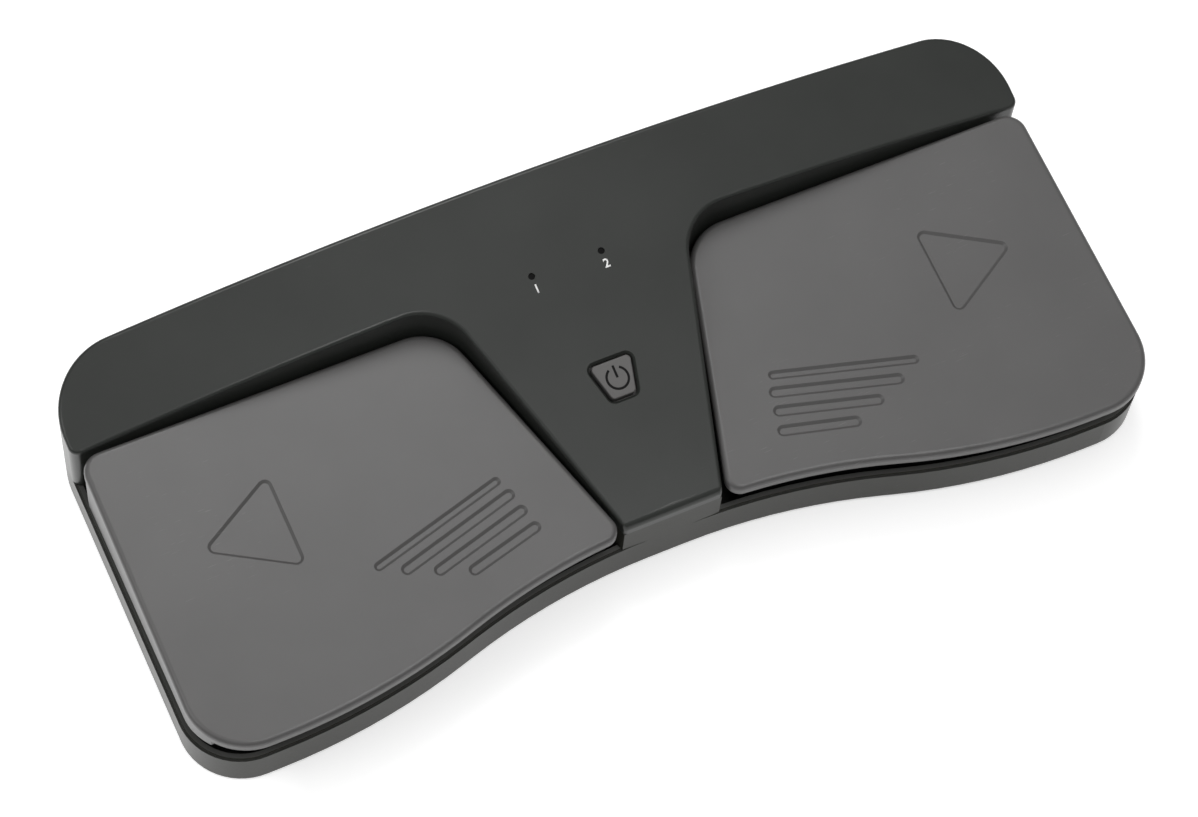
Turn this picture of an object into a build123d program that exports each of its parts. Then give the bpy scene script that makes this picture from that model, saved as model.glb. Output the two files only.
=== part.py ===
from math import atan2, cos, degrees, pi, radians, sin, sqrt, tan
import os

from build123d import *

# Two-pedal wireless page turner: a low tray, a T-shaped crowned cover and two hinged foot
# pedals with grey treads. +X is right, -Y is the front where the feet press, +Z is up.
# The origin is under the middle of the outline, on the surface that the feet stand on.

# Outline of the tray
width = 220.0
half = width / 2
depth = 92.2            # back of the cover to the front of the treads
tread_overhang = 1.1    # treads stand this far in front of the tray
centre_recess = 13.5    # the front edge lies this much further back at the middle
sweep_start = 4.5       # the swept front edge begins here, from the middle
sweep_gap = 3.5         # and ends here, from the front corner
sweep_angle = 16.9      # where it is steepest
sweep_straight = 2.0    # at least this much of it is straight there
front_corner = 13.5
back_corner = 15.6

# Heights and walls of the tray
foot_height = 0.8
floor = 2.5
rim_height = 10.2
tray_wall = 1.7
tray_bottom_round = 0.4
lip_inset = 0.45        # the raised lip on the ledge starts here, from the tray's side
lip_height = 0.4
lip_chamfer = 0.12
weld = 0.5              # how far a boss or wall reaches into what carries it

# Cover
cover_wall = 2.2
arm_depth = 20.2        # from the back edge to the pedals
stem_back_half = 28.1
stem_front_half = 11.15
pocket_radius = 12.0
deck_height = 38.1      # at the back edge on the middle line
deck_slope = 12.6
crown_radius = 740.0
cover_round = 0.9
stem_front_round = 2.0
arm_corner = 2.2
roll_drop = 1.2         # the stem's front wall begins this far under its rolled edge
seam_gap = 0.05

# Pedals
tread_back_height = 25.3
tread_tilt = 3.95
tread_thickness = 2.5
tread_plate = 2.0
tread_round = 1.2
skirt_wall = 1.5        # deeper side wall of the tread, over the tray's side
skirt_front_height = 14.8
skirt_fade = 8.0        # it runs out over this length at the front corner
skirt_clearance = 0.1   # to the lip, with the pedal pressed
tread_side_gap = 0.9    # tread to the outer face of the tray's side, seen from above
tread_gap = 0.75        # tread to the cover
tread_outer_back = 4.4
tread_inner_front = 3.2
carrier_inset = 3.9
carrier_wall = 2.0
carrier_fit = 0.1
rib_thickness = 1.6
rib_lift = 2.0          # ribs end this far above the lower edge of the walls
rib_depth = 36.0        # cross rib, from the back edge
outer_rib_inset = 26.0  # outer rib, from the tray's side
mark_depth = 0.5
mark_slope = 0.65       # width of the sloping walls of the sunk marks
press_angle = 2.5
floor_clearance = 0.5

# Sunk arrow and bars on the right tread, from the middle line and the back edge
arrow_inset = 17.1      # arrow's tip, from the tray's side
arrow_depth = 49.7
arrow_length = 18.05
arrow_half = 10.65
arrow_corner = 1.3
bars = [
    ((31.15, 58.05), (62.05, 66.5), 1.5),
    ((29.6, 61.7), (57.2, 69.3), 2.0),
    ((28.6, 65.9), (51.1, 72.0), 2.0),
    ((27.5, 70.3), (44.5, 74.65), 2.0),
]

# Hinge
pin_back = 13.0         # from the back edge
pin_height = 14.8
pin_radius = 1.25
pin_end = 0.5           # the pin stands out of its brackets
pin_chamfer = 0.3
pin_spare = 2.0         # its bores are cut this much longer
running_gap = 0.05
seat_gap = 0.02
eye_radius = 3.4
arm_width = 8.0
outer_arm_inset = 18.0
arm_places = (47.0, half - outer_arm_inset)
arm_gap = 0.5
heel_length = 8.0
heel_height = 3.0
heel_stop = 3.0
bracket_width = 4.0
slot_gap = 0.6
stop_gap = 0.1

# Return spring
spring_inset = 34.0
spring_place = (half - spring_inset, 62.0)
spring_radius = 4.0
wire_radius = 0.45
spring_turns = 5.0
spring_cup = 3.0
cup_wall = 1.2
cup_gap = 0.4           # spring to its cup and to the post inside it
post_height = 4.0

# Down-stop bumper and pedal switch
bumper_inset = 50.0
bumper_place = (half - bumper_inset, 71.0)
bumper_radius = 4.0
bumper_round = 0.4
switch_place = (38.0, 50.0)
board = 1.6
switch_board_size = (20.0, 16.0)
switch_board_lift = 1.5
switch_size = (12.0, 12.0, 4.0)
switch_chamfer = 0.5
switch_post_radius = 1.9
switch_screw_inset = 2.0
board_clearance = 1.0   # carrier to the switch board, seen from above
plunger_radius = 1.75
plunger_height = 1.0
stud_radius = 2.5
stud_gap = 0.15         # to the switch, with the pedal pressed

# Case screws, from the middle line and the back edge
outer_screw_inset = 9.5
screw_places = [(half - outer_screw_inset, 6.0), (58.0, 6.0), (7.4, 69.4)]
screw_radius = 1.25
screw_head = (2.6, 1.8)
screw_length = 14.0
screw_end_gap = 1.0     # a screw stops this far before the end of its hole
boss_radius = 4.0
boss_height = 7.0
post_radius = 3.1
head_sink = 3.8
head_gap = 0.3
screw_gap = 0.2

# Feet
back_foot_inset = 26.0
front_foot_inset = 18.0
foot_places = [(half - back_foot_inset, 12.5), (half - front_foot_inset, 74.0)]
foot_radius = 7.0
foot_chamfer = 0.4
foot_sink = 0.8

# Main board and what is on it
board_height = 13.5
board_half = 30.0
board_back = 3.4
board_step = 17.0
tongue_half = 20.5
board_front = 30.0
board_screw_places = [(27.0, 13.5), (17.5, 26.5)]
board_post_radius = 2.4
board_corner = 1.0
main_screw_length = 6.0
key_screw_length = 4.0
small_screw_radius = 0.9
small_head = (1.9, 1.2)
socket_size = (8.94, 7.3, 3.2)
socket_wall = 0.3
socket_floor = 1.0
socket_tongue = (6.7, 0.7)
socket_back = 1.0
socket_corner_gap = 0.1
port_gap = 0.25
port_recess = 0.8
port_recess_gap = 1.1
radio_size = (12.0, 16.0, 2.2)
radio_chamfer = 0.3
radio_back = 21.4
chip_size = (4.0, 4.0, 0.9)
chip_place = (0.0, 11.0)

# Battery in the stem of the tray
battery_size = (23.0, 36.0, 6.0)
battery_back = 45.0
battery_round = 2.0
cradle_wall = 1.2
cradle_height = 3.0
cradle_gap = 0.2

# Power button, measured along the deck from its own middle
button_back = 48.15     # from the back edge
button_length = 8.1
button_wide_half = 4.7
button_narrow_half = 2.65
button_corner = 1.0
button_gap = 0.5
button_proud = 0.4
button_round = 0.3
button_flange = 1.0
button_flange_thickness = 0.85
button_flange_gap = 0.05
button_travel = 0.5
opening_bevel = 0.5

# Key board under the deck
key_board_depth = 8.0   # from the deck surface to the board
key_board_half = 12.0
key_board_front = 8.0
key_board_back = 31.5
key_post_place = (8.6, 12.5)
key_post_radius = 2.2
key_switch_size = (6.0, 6.0, 3.4)
key_switch_chamfer = 0.4
led_size = (2.0, 1.25, 0.7)
light_place = (8.0, 22.0)
light_radius = 0.75
light_sink = 0.3
light_fit = 0.04
light_foot = (1.5, 3.0)

# Worked-out places
back_y = depth / 2
tray_front_y = -depth / 2 + tread_overhang
centre_front_y = tray_front_y + centre_recess
arm_front_y = back_y - arm_depth
floor_top = foot_height + floor
pin_y = back_y - pin_back
pin_middle = sum(arm_places) / 2
bracket_reach = (arm_width + bracket_width) / 2 + arm_gap
pin_length = arm_places[1] - arm_places[0] + 2 * bracket_reach + bracket_width + 2 * pin_end
tread_back_y = arm_front_y - tread_gap
stem_run = (stem_back_half - stem_front_half) / (arm_front_y - centre_front_y)
top = 60.0              # higher than anything, for cutting
plan = 400.0            # wider than anything, for cutting

deck_up = Vector(0, -sin(radians(deck_slope)), cos(radians(deck_slope)))
deck_along = Vector(0, cos(radians(deck_slope)), sin(radians(deck_slope)))


def on_plan(place, side=1):
    # A place given from the middle line and the back edge, as x and y
    return side * place[0], back_y - place[1]


def deck_point(from_back):
    # The point of the deck surface on the middle line
    return Vector(0, back_y - from_back, deck_height - from_back * tan(radians(deck_slope)))


def outline(corners):
    # Flat face inside straight sides, each corner given as x, y and its radius
    points = [(x, y) for x, y, r in corners]
    return make_face(FilletPolyline(*points, radius=[r for x, y, r in corners], close=True))


def both_sides(corners):
    # A symmetrical outline from its right half, listed from front to back
    return outline(corners + [(-x, y, r) for x, y, r in reversed(corners)])


def swept_outline(side, grow, corner):
    # The tray's outline with its swept front edge, two equal arcs as large as their run allows
    angle = radians(sweep_angle)
    run = half - front_corner - sweep_gap - sweep_start
    reach = centre_recess / tan(angle) / 2
    room = min(run / 2 - reach, reach / cos(angle) - sweep_straight / 2)
    radius = room / tan(angle / 2)
    middle = sweep_start + run / 2
    return both_sides([
        (middle - reach, centre_front_y - grow, radius),
        (middle + reach, tray_front_y - grow, radius),
        (side, tray_front_y - grow, corner),
        (side, back_y, back_corner),
    ])


def round_corner(face, place, radius):
    # Rounds the corner of a face that is nearest to a place
    corner = face.vertices().sort_by_distance((*place, 0))[0]
    return fillet(corner, radius)


def prism(face, low, high):
    return extrude(Pos(0, 0, low) * face, high - low)


def crown(drop):
    # Everything under the deck surface, lowered by drop
    middle = deck_point(depth / 2)
    axis = Plane(middle - deck_up * crown_radius, x_dir=(1, 0, 0), z_dir=deck_along)
    return axis * Cylinder(crown_radius - drop, plan)


def tread_plane(sink):
    # Plane of the tread's top, lowered by sink, with its origin at the tread's back edge
    return Plane((0, tread_back_y, tread_back_height), x_dir=(1, 0, 0),
                 z_dir=(0, -sin(radians(tread_tilt)), cos(radians(tread_tilt)))).offset(-sink)


def under_tread(sink):
    # Everything lower than sink under the tread's top
    return tread_plane(sink) * Box(plan, plan, plan, align=(Align.CENTER, Align.CENTER, Align.MAX))


def drop_at(y):
    # How far a pressed pedal goes down at y
    return (pin_y - y) * sin(radians(press_angle))


def rod(x, y, low, high, radius):
    return prism(Pos(x, y) * Circle(radius), low, high)


def block(x, y, low, size):
    return Pos(x, y, low) * Box(*size, align=(Align.CENTER, Align.CENTER, Align.MIN))


def joined(shapes):
    result = shapes[0]
    for shape in shapes[1:]:
        result += shape
    return result


def mirrored(shape):
    return mirror(shape, about=Plane.YZ)


# Faces that several pieces share
tray_face = swept_outline(half, 0, front_corner)
tray_inside = offset(tray_face, -tray_wall)
cover_face = both_sides([
    (stem_front_half, centre_front_y, 0),
    (stem_back_half, arm_front_y, pocket_radius),
    (half, arm_front_y, arm_corner),
    (half, back_y, back_corner),
])
cover_inside = offset(cover_face, -cover_wall)


def stem_side(y, gap):
    # Half width of the stem at y, plus a gap square to its side
    return stem_front_half + (y - centre_front_y) * stem_run + gap * sqrt(1 + stem_run**2)


def pedal_face():
    # Outline of the right tread: the swept outline, cut off beside the stem and the arm
    side = half - tread_side_gap
    front = tray_front_y - depth
    whole = swept_outline(side, tread_overhang, front_corner)
    keep = outline([
        (stem_side(front, tread_gap), front, 0),
        (plan, front, 0),
        (plan, tread_back_y, 0),
        (stem_side(tread_back_y, tread_gap), tread_back_y, 0),
    ])
    face = whole & keep
    inner_front = centre_front_y - tread_overhang
    face = round_corner(face, (stem_side(tread_back_y, tread_gap), tread_back_y), pocket_radius - tread_gap)
    face = round_corner(face, (side, tread_back_y), tread_outer_back)
    return round_corner(face, (stem_side(inner_front, tread_gap), inner_front), tread_inner_front)


tread_face = pedal_face()
carrier_face = offset(tread_face, -carrier_inset)
carrier_bottom = floor_top + drop_at(tray_front_y) + floor_clearance


def make_base():
    tray = prism(tray_face, foot_height, rim_height)
    tray = fillet(tray.faces().sort_by(Axis.Z)[0].edges(), tray_bottom_round)
    tray -= prism(tray_inside, floor_top, top)
    # Walls under the cover's own walls
    tray += prism(cover_face - cover_inside, floor_top - weld, rim_height)
    # Front tab that closes the stem under its rolled edge
    tab = prism(cover_face, rim_height - weld, tab_top())
    tab &= block(0, centre_front_y, 0, (plan, 2 * cover_wall, top))
    tray += tab
    # Raised lip on the ledge
    lip = prism(offset(tray_face, -lip_inset) - tray_inside - cover_face,
                rim_height - weld, rim_height + lip_height)
    rim = lip.edges().filter_by_position(Axis.Z, rim_height + lip_height, rim_height + lip_height)
    tray += chamfer(rim, lip_chamfer)
    # Bosses, pedal fittings and battery cradle on the floor
    for side in (1, -1):
        for place in screw_places:
            x, y = on_plan(place, side)
            tray += rod(x, y, floor_top - weld, boss_height, boss_radius)
        for place in board_screw_places:
            x, y = on_plan(place, side)
            tray += rod(x, y, floor_top - weld, board_height, board_post_radius)
        tray += pedal_fittings(side)
    long, wide, high = battery_size
    long += 2 * cradle_gap
    wide += 2 * cradle_gap
    cradle = block(0, back_y - battery_back, floor_top - weld,
                   (long + 2 * cradle_wall, wide + 2 * cradle_wall, cradle_height + weld))
    cradle -= block(0, back_y - battery_back, 0, (long, wide, top))
    tray += cradle
    # Sunk screw heads, screw holes, foot seats and pin bores
    for side in (1, -1):
        for place in screw_places:
            x, y = on_plan(place, side)
            tray -= rod(x, y, 0, foot_height + head_sink, screw_head[0] + head_gap)
            tray -= rod(x, y, 0, top, screw_radius + screw_gap)
        for place in board_screw_places:
            x, y = on_plan(place, side)
            tray -= rod(x, y, board_height - main_screw_length, top, small_screw_radius)
        for place in foot_places:
            x, y = on_plan(place, side)
            tray -= rod(x, y, 0, foot_height + foot_sink, foot_radius)
        tray -= pin_hole(side)
    return tray


def tab_top():
    # Top of the tray's front tab, under the rolled front edge of the stem
    return deck_point(back_y - centre_front_y).Z - stem_front_round - roll_drop


def pin_hole(side):
    bore = Cylinder(pin_radius + seat_gap, pin_length + pin_spare)
    return Pos(side * pin_middle, pin_y, pin_height) * Rot(0, 90, 0) * bore


def pedal_fittings(side):
    # What the tray carries for one pedal: pin brackets, heel stops, spring post, board posts
    parts = []
    low = floor_top - weld
    for x in (arm_places[0] - bracket_reach, pin_middle, arm_places[1] + bracket_reach):
        size = (bracket_width, 2 * eye_radius, pin_height + eye_radius - low)
        parts.append(block(side * x, pin_y, low, size))
    for x in arm_places:
        size = (arm_width / 2, heel_stop, pin_height - eye_radius - stop_gap - low)
        parts.append(block(side * x, pin_y + heel_length - heel_stop / 2 - weld, low, size))
    x, y = on_plan(spring_place, side)
    parts.append(rod(x, y, low, floor_top + post_height, spring_radius - wire_radius - cup_gap))
    x, y = on_plan(switch_place, side)
    for step in (-1, 1):
        spot = x + step * (switch_board_size[0] / 2 - switch_screw_inset)
        parts.append(rod(spot, y, low, floor_top + switch_board_lift, switch_post_radius))
    return joined(parts)


def make_cover():
    shell = prism(cover_face, rim_height, top) & crown(0)
    shell -= stem_roll()
    # Rounds everything round the deck but the two lines where its roll meets deck and front
    front = [edge for edge in shell.edges() if edge.center().Y < centre_front_y + 2 * stem_front_round]
    smooth = [edge for edge in front if edge.bounding_box().size.X > stem_front_half / 2]
    deck = shell.faces().filter_by(GeomType.CYLINDER).sort_by(SortBy.AREA)[-1]
    rest = []
    for edge in (*deck.edges(), *front):
        if not any(edge.is_same(other) for other in smooth + rest):
            rest.append(edge)
    shell = fillet(rest, cover_round)
    inside = prism(cover_inside, rim_height - weld, top) & crown(cover_wall)
    shell -= inside
    # Room for the tray's front tab
    shell -= block(0, centre_front_y, 0, (plan, 2 * cover_wall + 2 * seam_gap, tab_top()))
    # Screw posts, clear of the tray's walls
    walls = prism(cover_face - offset(cover_face, -cover_wall - seam_gap), 0, rim_height)
    for side in (1, -1):
        for place in screw_places:
            x, y = on_plan(place, side)
            post = rod(x, y, boss_height, top, post_radius) & crown(cover_wall / 2)
            shell += post - walls
            shell -= rod(x, y, 0, foot_height + head_sink + screw_length, screw_radius)
        # Slots that the hinge arms pass through
        for x in arm_places:
            size = (arm_width + 2 * slot_gap, 3 * cover_wall, pin_height + eye_radius + slot_gap)
            shell -= block(side * x, arm_front_y, 0, size)
    shell += key_posts()
    # Openings in the deck
    top_plane = button_plane()
    hole = top_plane * extrude(button_shape(button_gap), 10, both=True)
    bevel = top_plane.offset(-opening_bevel) * extrude(button_shape(button_gap), 2, taper=-45)
    shell -= hole
    shell -= bevel
    for side in (1, -1):
        shell -= light_hole(side)
    # Charging port in the back wall
    shell -= port_opening(port_gap, 3 * cover_wall)
    shell -= port_opening(port_recess_gap, 2 * port_recess)
    return shell


def stem_roll():
    # What the rolled front edge of the stem leaves out, as a bar along X
    roll = stem_front_round
    slope = radians(deck_slope)
    edge_z = deck_point(back_y - centre_front_y).Z
    middle_y = centre_front_y + roll
    middle_z = edge_z + roll * (sin(slope) - 1) / cos(slope)
    beyond = 2 * roll
    sector = outline([
        (middle_y, middle_z, 0),
        (middle_y - beyond, middle_z, 0),
        (middle_y - beyond, middle_z + beyond, 0),
        (middle_y - beyond * sin(slope), middle_z + beyond * cos(slope), 0),
    ])
    profile = sector - Pos(middle_y, middle_z) * Circle(roll)
    side = Plane((-stem_back_half, 0, 0), x_dir=(0, 1, 0), z_dir=(1, 0, 0))
    return side * extrude(profile, 2 * stem_back_half)


def port_opening(gap, length):
    wide, deep, high = socket_size
    slot = Plane((0, back_y, board_height + board + high / 2), x_dir=(1, 0, 0), z_dir=(0, 1, 0))
    shape = RectangleRounded(wide + 2 * gap, high + 2 * gap, high / 2 + gap - socket_corner_gap / 2)
    return slot * extrude(shape, length / 2, both=True)


def button_plane():
    return Plane(deck_point(button_back), x_dir=(1, 0, 0), z_dir=deck_up)


def button_shape(grow):
    long = button_length / 2
    face = outline([
        (button_narrow_half, -long, button_corner),
        (button_wide_half, long, button_corner),
        (-button_wide_half, long, button_corner),
        (-button_narrow_half, -long, button_corner),
    ])
    return offset(face, grow) if grow else face


def light_plane(side):
    # Centre of an indicator hole on the deck, square to its surface
    x, from_back = side * light_place[0], light_place[1]
    sag = crown_radius - (crown_radius**2 - x**2)**0.5
    return Plane(deck_point(from_back) + Vector(x, 0, 0) - deck_up * sag, x_dir=(1, 0, 0), z_dir=deck_up)


def light_hole(side):
    return light_plane(side) * extrude(Circle(light_radius), 3 * cover_wall, both=True)


def key_posts():
    posts = []
    for side in (1, -1):
        post = Pos(side * key_post_place[0], key_post_place[1], -key_board_depth) * Circle(key_post_radius)
        solid = button_plane() * extrude(post, key_board_depth) & crown(cover_wall / 2)
        hole = Pos(side * key_post_place[0], key_post_place[1], -key_board_depth) * Circle(small_screw_radius)
        posts.append(solid - button_plane() * extrude(hole, key_screw_length))
    return joined(posts)


def make_tread():
    plate = prism(tread_face, 0, top) & under_tread(0)
    plate -= under_tread(tread_thickness)
    rim = plate.faces().sort_by(SortBy.AREA)[-2:].sort_by(Axis.Z)[-1].edges()
    plate = fillet(rim, tread_round) + side_skirt()
    recess = prism(offset(carrier_face, carrier_fit), 0, top) & under_tread(tread_plate)
    plate -= recess
    # Sunk marks with sloping walls, each outline halfway down its wall
    draft = degrees(atan2(mark_slope, mark_depth))
    for mark in [arrow_face()] + [bar_face(*bar) for bar in bars]:
        bottom = Pos(0, -tread_back_y) * offset(mark, -mark_slope / 2)
        plate -= tread_plane(mark_depth) * extrude(bottom, 2 * mark_depth, taper=-draft)
    return plate


def side_skirt():
    # Deep outer wall of the tread, just clear of the tray's lip when the pedal is pressed
    back_end = tread_back_y - tread_outer_back
    corner = tray_front_y - tread_overhang + front_corner
    low = rim_height + lip_height + drop_at(back_end) + skirt_clearance
    side = Plane((half - front_corner, 0, 0), x_dir=(0, 1, 0), z_dir=(1, 0, 0))
    profile = outline([
        (back_end, low, 0),
        (back_end, top, 0),
        (corner - skirt_fade, top, 0),
        (corner - skirt_fade, tread_back_height - tread_thickness - depth * tan(radians(tread_tilt)), 0),
        (corner, skirt_front_height, 0),
    ])
    ring = tread_face - offset(tread_face, -skirt_wall)
    return prism(ring, 0, top) & side * extrude(profile, front_corner) & under_tread(tread_round)


def arrow_face():
    tip = half - arrow_inset
    y = back_y - arrow_depth
    return outline([
        (tip - arrow_length, y + arrow_half, arrow_corner),
        (tip - arrow_length, y - arrow_half, arrow_corner),
        (tip, y, arrow_corner),
    ])


def bar_face(start, end, thick):
    # A bar with round ends between its two outermost points
    a = Vector(*on_plan(start))
    b = Vector(*on_plan(end))
    run = b - a
    middle = (a + b) / 2
    return Pos(middle.X, middle.Y) * Rot(0, 0, degrees(atan2(run.Y, run.X))) * SlotOverall(run.length, thick)


def make_carrier():
    frame = prism(carrier_face, carrier_bottom, top) & under_tread(tread_plate)
    room = prism(offset(carrier_face, -carrier_wall), 0, top) & under_tread(tread_plate + carrier_wall)
    frame -= room
    deep = carrier_bottom + rib_lift
    ribs = []
    for x in (*arm_places, bumper_place[0], half - outer_rib_inset):
        ribs.append(block(x, 0, deep, (rib_thickness, plan, top)))
    for y in (rib_depth, bumper_place[1]):
        ribs.append(block(0, back_y - y, deep, (plan, rib_thickness, top)))
    frame += joined(ribs) & room
    # Hinge arms with their eyes and heels
    for x in arm_places:
        frame += hinge_arm(x)
    bore = Cylinder(pin_radius + running_gap, plan)
    frame -= Pos(0, pin_y, pin_height) * Rot(0, 90, 0) * bore
    # Spring cup, switch stud and bumper foot
    x, y = on_plan(spring_place)
    radius = spring_radius + wire_radius + cup_gap
    ceiling = spring_top()
    frame -= rod(x, y, 0, ceiling, radius + 2 * cup_wall)
    cup = rod(x, y, ceiling - spring_cup, top, radius + cup_wall) & under_tread(tread_plate + weld)
    frame += cup - rod(x, y, 0, ceiling, radius)
    x, y = on_plan(switch_place)
    wide, deep = switch_board_size
    frame -= block(x, y, 0, (wide + 2 * board_clearance, deep + 2 * board_clearance, stud_bottom()))
    frame += rod(x, y, stud_bottom(), top, stud_radius) & under_tread(tread_plate + weld)
    x, y = on_plan(bumper_place)
    frame += rod(x, y, carrier_bottom, top, bumper_radius) & under_tread(tread_plate + weld)
    return frame


def hinge_arm(x):
    low = pin_height - eye_radius
    high = pin_height + eye_radius
    inner_y = back_y - rib_depth
    side = Plane((x - arm_width / 2, 0, 0), x_dir=(0, 1, 0), z_dir=(1, 0, 0))
    reach = Pos((inner_y + pin_y) / 2, pin_height) * Rectangle(pin_y - inner_y, high - low)
    eye = Pos(pin_y, pin_height) * Circle(eye_radius)
    heel = Pos(pin_y + heel_length / 2, low + heel_height / 2) * Rectangle(heel_length, heel_height)
    return side * extrude(reach + eye + heel, arm_width)


def spring_top():
    # Underside of the carrier plate over the spring, flat across the cup
    y = back_y - spring_place[1]
    fall = (tread_back_y - y + spring_radius + cup_wall) * tan(radians(tread_tilt))
    return tread_back_height - fall - (tread_plate + carrier_wall) / cos(radians(tread_tilt))


def switch_top():
    return floor_top + switch_board_lift + board + switch_size[2] + plunger_height


def stud_bottom():
    # Just clear of the switch when the pedal is right down
    return switch_top() + drop_at(back_y - switch_place[1]) + stud_gap


def make_spring():
    # A coil of quarter turns, each of two arcs that meet smoothly
    x, y = on_plan(spring_place)
    low = floor_top + wire_radius + seat_gap
    height = spring_top() - wire_radius - seat_gap - low
    pitch = height / spring_turns
    print("spring coil gap", round(pitch - 2 * wire_radius, 2), "mm")
    arcs = []
    for quarter in range(int(4 * spring_turns)):
        points = []
        for step in (quarter, quarter + 1):
            turn = step * pi / 2
            out = Vector(cos(turn), sin(turn))
            place = Vector(x, y, low + step * pitch / 4) + out * spring_radius
            along = Vector(-sin(turn), cos(turn), pitch / 2 / pi / spring_radius).normalized()
            points.append((place, along))
        (a, a_way), (b, b_way) = points
        chord = b - a
        share = chord.dot(a_way + b_way)
        spread = 2 * (1 - a_way.dot(b_way))
        arm = (sqrt(share**2 + spread * chord.dot(chord)) - share) / spread
        a_end = a + a_way * arm
        b_end = b - b_way * arm
        joint = (a_end + b_end) / 2
        arcs.append(Edge.make_tangent_arc(a, a_way, joint))
        arcs.append(Edge.make_tangent_arc(joint, b_end - a_end, b))
    path = Wire(arcs)
    return sweep(Plane(path @ 0, z_dir=path % 0) * Circle(wire_radius), path=path)


def make_pin():
    pin = Cylinder(pin_radius, pin_length)
    pin = chamfer(pin.edges(), pin_chamfer)
    return Pos(pin_middle, pin_y, pin_height) * Rot(0, 90, 0) * pin


def make_bumper():
    x, y = on_plan(bumper_place)
    height = carrier_bottom - drop_at(y - bumper_radius) - stop_gap
    pad = rod(x, y, floor_top, height, bumper_radius)
    return fillet(pad.edges().sort_by(Axis.Z)[-1], bumper_round)


def make_switch_board():
    x, y = on_plan(switch_place)
    low = floor_top + switch_board_lift
    plate = block(x, y, low, (*switch_board_size, board))
    for step in (-1, 1):
        spot = x + step * (switch_board_size[0] / 2 - switch_screw_inset)
        plate -= rod(spot, y, 0, top, small_screw_radius + screw_gap)
    return plate


def make_switch():
    x, y = on_plan(switch_place)
    low = floor_top + switch_board_lift + board
    body = block(x, y, low, switch_size)
    body = chamfer(body.edges().filter_by(Axis.Z), switch_chamfer)
    return body + rod(x, y, low, switch_top(), plunger_radius)


def screw(x, y, low, length, radius, head):
    # A pan-head screw standing on its head
    body = rod(x, y, low, low + head[1], head[0])
    body = fillet(body.edges().sort_by(Axis.Z)[0], head[1] / 3)
    return body + rod(x, y, low, low + head[1] + length, radius)


def turned_screw(place, x, y, length, radius, head):
    # The same screw in another plane, its head on top
    body = extrude(Pos(x, y) * Circle(head[0]), head[1])
    return place * (body + extrude(Pos(x, y) * Circle(radius), -length))


def make_case_screws():
    screws = []
    for side in (1, -1):
        for place in screw_places:
            x, y = on_plan(place, side)
            low = foot_height + head_sink - screw_head[1]
            screws.append(screw(x, y, low, screw_length - screw_end_gap, screw_radius, screw_head))
    return Compound(screws)


def make_board_screws():
    place = Plane.XY.offset(board_height + board)
    screws = []
    for side in (1, -1):
        for spot in board_screw_places:
            x, y = on_plan(spot, side)
            screws.append(turned_screw(place, x, y, main_screw_length, small_screw_radius, small_head))
    return Compound(screws)


def make_switch_board_screws(side):
    low = floor_top + switch_board_lift + board
    place = Plane.XY.offset(low)
    x, y = on_plan(switch_place, side)
    reach = switch_board_size[0] / 2 - switch_screw_inset
    size = (small_screw_radius, small_head)
    return Compound([turned_screw(place, x + step * reach, y, board, *size) for step in (-1, 1)])


def make_key_screws():
    place = button_plane().offset(-key_board_depth - board)
    place = Plane(place.origin, x_dir=(1, 0, 0), z_dir=-deck_up)
    x, y = key_post_place
    size = (small_screw_radius, small_head)
    return Compound([turned_screw(place, side * x, -y, key_screw_length, *size) for side in (1, -1)])


def make_main_board():
    shape = both_sides([
        (tongue_half, back_y - board_front, board_corner),
        (tongue_half, back_y - board_step, 0),
        (board_half, back_y - board_step, board_corner),
        (board_half, back_y - board_back, board_corner),
    ])
    plate = prism(shape, board_height, board_height + board)
    for side in (1, -1):
        for place in board_screw_places:
            plate -= rod(*on_plan(place, side), 0, top, small_screw_radius + screw_gap)
    return plate


def make_socket():
    wide, deep, high = socket_size
    middle_z = board_height + board + high / 2
    middle = Plane((0, back_y - socket_back, middle_z), x_dir=(1, 0, 0), z_dir=(0, -1, 0))
    corner = high / 2 - socket_corner_gap
    shell = extrude(RectangleRounded(wide, high, corner), deep)
    room = offset(RectangleRounded(wide, high, corner), -socket_wall)
    shell -= extrude(room, deep - socket_floor)
    tongue = extrude(Pos(0, 0, socket_floor) * Rectangle(*socket_tongue), deep - socket_floor)
    return middle * (shell + tongue)


def make_radio():
    can = block(0, back_y - radio_back, board_height + board, radio_size)
    return chamfer(can.faces().sort_by(Axis.Z)[-1].edges(), radio_chamfer)


def make_chip():
    x, y = on_plan(chip_place)
    return block(x, y, board_height + board, chip_size)


def make_battery():
    cell = block(0, back_y - battery_back, floor_top, battery_size)
    return fillet(cell.edges().filter_by(Axis.Y), battery_round)


def make_key_board():
    shape = Pos(0, (key_board_back - key_board_front) / 2) * RectangleRounded(
        2 * key_board_half, key_board_back + key_board_front, board_corner)
    plate = extrude(shape, -board)
    for side in (1, -1):
        x, y = key_post_place
        hole = Pos(side * x, y) * Circle(small_screw_radius + screw_gap)
        plate -= extrude(hole, board, both=True)
    return button_plane().offset(-key_board_depth) * plate


def make_key_switch():
    wide, deep, high = key_switch_size
    body = Box(wide, deep, high, align=(Align.CENTER, Align.CENTER, Align.MIN))
    body = chamfer(body.edges().filter_by(Axis.Z), key_switch_chamfer)
    plunger = extrude(Circle(plunger_radius), key_board_depth - button_bottom() - button_travel - running_gap)
    return button_plane().offset(-key_board_depth) * (body + plunger)


def button_bottom():
    # Depth of the button's underside below the deck surface
    return cover_wall + button_flange_gap + button_flange_thickness


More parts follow.
